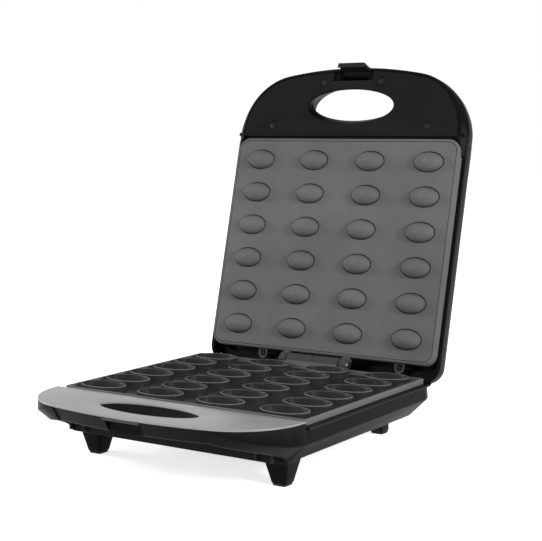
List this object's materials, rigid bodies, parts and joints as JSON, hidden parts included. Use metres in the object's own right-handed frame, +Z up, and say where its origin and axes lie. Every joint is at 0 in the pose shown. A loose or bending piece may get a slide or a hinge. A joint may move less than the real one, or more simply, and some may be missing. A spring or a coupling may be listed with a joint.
{
  "type": "filled cookie maker",
  "caption": "Hinged countertop baker that presses filled nut-shaped cookies between an oval-cupped lower plate and a domed upper plate, shown open.",
  "frame": {"origin": "centre of the open machine's box in X and Y, on the surface it stands on", "axes": "+X to the right seen from the handles, +Y from the handles to the hinge, +Z up; the lid stands open, leaning back over the hinge"},
  "size_m": [0.251, 0.3679, 0.3305],
  "materials": {
    "housing_plastic": "fine matte texture",
    "handle_gloss": "satin gloss",
    "nonstick_plate": "non-stick coating on die-cast aluminium",
    "element_sheath": "heat-dulled steel sheath",
    "sheet_steel": "rolled sheet",
    "bright_steel": "bright zinc",
    "ceramic": "glazed ceramic",
    "grommet": "matte",
    "pad_rubber": "matte",
    "cover_matte": "matte",
    "dark_screws": "black oxide",
    "grey_steel": "plain",
    "lens_red": "clear",
    "lens_green": "clear",
    "board": "resin board",
    "latch_plastic": "satin"
  },
  "bodies": {
    "base": {"base_housing": "housing_plastic", "base_handle_cover": "handle_gloss", "lower_plate": "nonstick_plate", "lower_heating_element": "element_sheath", "lower_element_clips": "sheet_steel", "lower_reflector": "sheet_steel", "thermostat": "bright_steel", "thermal_fuse": "ceramic", "terminal_block": "ceramic", "cord_inlet_bushing": "grommet", "front_feet": "housing_plastic", "rear_feet": "housing_plastic", "foot_pads": "pad_rubber", "base_screws": "bright_steel", "latch_catch": "dark_screws", "hinge_pin": "bright_steel", "hinge_pin_clip": "sheet_steel"},
    "lid": {"lid_housing": "housing_plastic", "lid_handle_cover": "cover_matte", "handle_cover_screws": "dark_screws", "upper_plate": "nonstick_plate", "plate_tabs": "grey_steel", "plate_tab_screws": "dark_screws", "upper_heating_element": "element_sheath", "upper_element_clips": "sheet_steel", "upper_reflector": "sheet_steel", "reflector_screws": "bright_steel", "power_lens": "lens_red", "ready_lens": "lens_green", "lamp_board": "board", "latch_pin": "bright_steel"},
    "latch_lever": {"latch": "latch_plastic"}
  },
  "joints": [
    {"name": "lid_hinge", "type": "hinge", "parent": "base", "child": "lid", "pos_m": [0, 0.09226, 0.05623], "axis": [1, 0, 0], "range_deg": [0, 104.25]},
    {"name": "latch_pivot", "type": "hinge", "parent": "lid", "child": "latch_lever", "pos_m": [0, 0.1701, 0.31926], "axis": [1, 0, 0], "range_deg": [-20, 8.5]}
  ]
}
